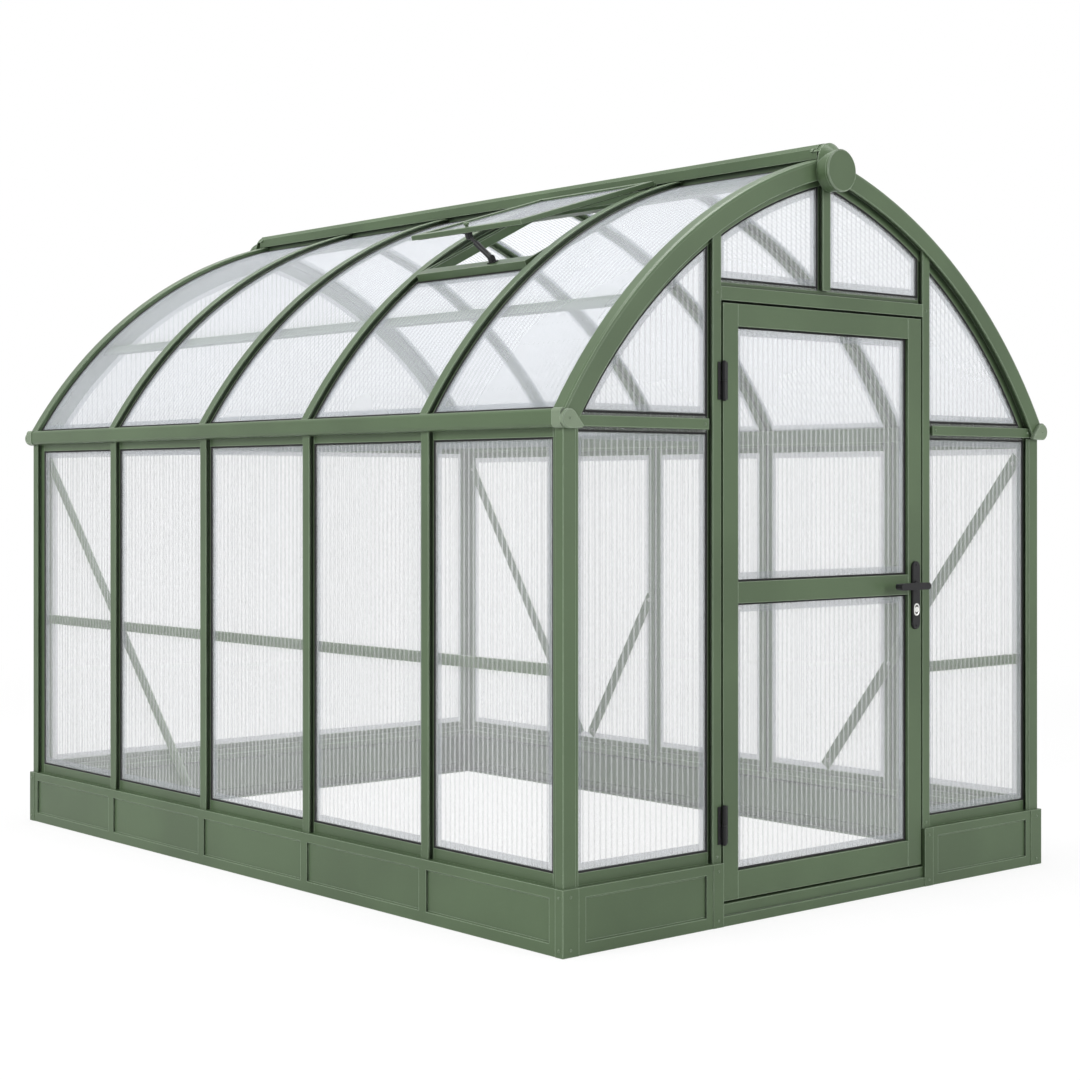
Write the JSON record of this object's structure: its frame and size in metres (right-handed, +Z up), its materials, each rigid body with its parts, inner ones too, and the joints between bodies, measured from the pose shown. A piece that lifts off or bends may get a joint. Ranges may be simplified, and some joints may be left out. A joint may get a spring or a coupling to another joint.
{
  "type": "polycarbonate greenhouse",
  "caption": "Walk-in greenhouse with a green metal frame, translucent twin-wall sheets, a pointed-arch roof, one open roof vent and a hinged front door with a turning lever",
  "frame": {"origin": "centre of the base on the ground, at the bottom of the bounding box", "axes": "+Z up, the door faces -Y, the ridge runs along Y, the roof vent is on the -X slope"},
  "size_m": [2.206, 3.2046, 2.3344],
  "materials": {
    "frame_green": "satin sage-green powder coat on aluminium bars",
    "polycarbonate": "translucent twin-wall polycarbonate with upright flutes",
    "black_fittings": "black powder-coated fittings",
    "lock_steel": "bright lock cylinder face"
  },
  "bodies": {
    "frame": {"base_left": "frame_green", "base_right": "frame_green", "base_rear": "frame_green", "base_front": "frame_green", "base_end_pieces": "frame_green", "door_threshold": "frame_green", "corner_posts": "frame_green", "mullions_left": "frame_green", "mullions_right": "frame_green", "sill_rails": "frame_green", "head_rails": "frame_green", "mid_rails": "frame_green", "braces": "frame_green", "wall_sheets_left": "polycarbonate", "wall_sheets_right": "polycarbonate", "wall_sheets_rear": "polycarbonate", "eave_beam_left": "frame_green", "eave_beam_right": "frame_green", "eave_end_caps": "frame_green", "front_arch": "frame_green", "rear_arch": "frame_green", "roof_ribs_left": "frame_green", "roof_ribs_right": "frame_green", "purlin": "frame_green", "ridge_beam": "frame_green", "ridge_end_hoods": "frame_green", "roof_sheets_left": "polycarbonate", "roof_sheets_right": "polycarbonate", "vent_curb": "frame_green", "vent_sash": "frame_green", "vent_sheet": "polycarbonate", "vent_stay": "black_fittings", "door_posts": "frame_green", "door_head": "frame_green", "gable_post": "frame_green", "cross_bars": "frame_green", "wall_sheets_front": "polycarbonate", "gable_sheets": "polycarbonate", "frame_hinge_leaves": "black_fittings"},
    "door": {"door_stiles": "frame_green", "door_rails": "frame_green", "door_sheets": "polycarbonate", "door_hinge_leaves": "black_fittings", "lock_plates": "black_fittings", "lock_cylinder": "lock_steel"},
    "lever": {"lever_handle": "black_fittings"}
  },
  "joints": [
    {"name": "door_hinge", "type": "hinge", "parent": "frame", "child": "door", "pos_m": [-0.459, -1.548, 0.94], "axis": [0, 0, -1], "range_deg": [0, 120]},
    {"name": "lever_turn", "type": "hinge", "parent": "door", "child": "lever", "pos_m": [0.423, -1.54, 0.968], "axis": [0, -1, 0], "range_deg": [0, 40], "stiffness_Nm_per_rad": 0.6, "springref_deg": -28.65}
  ]
}
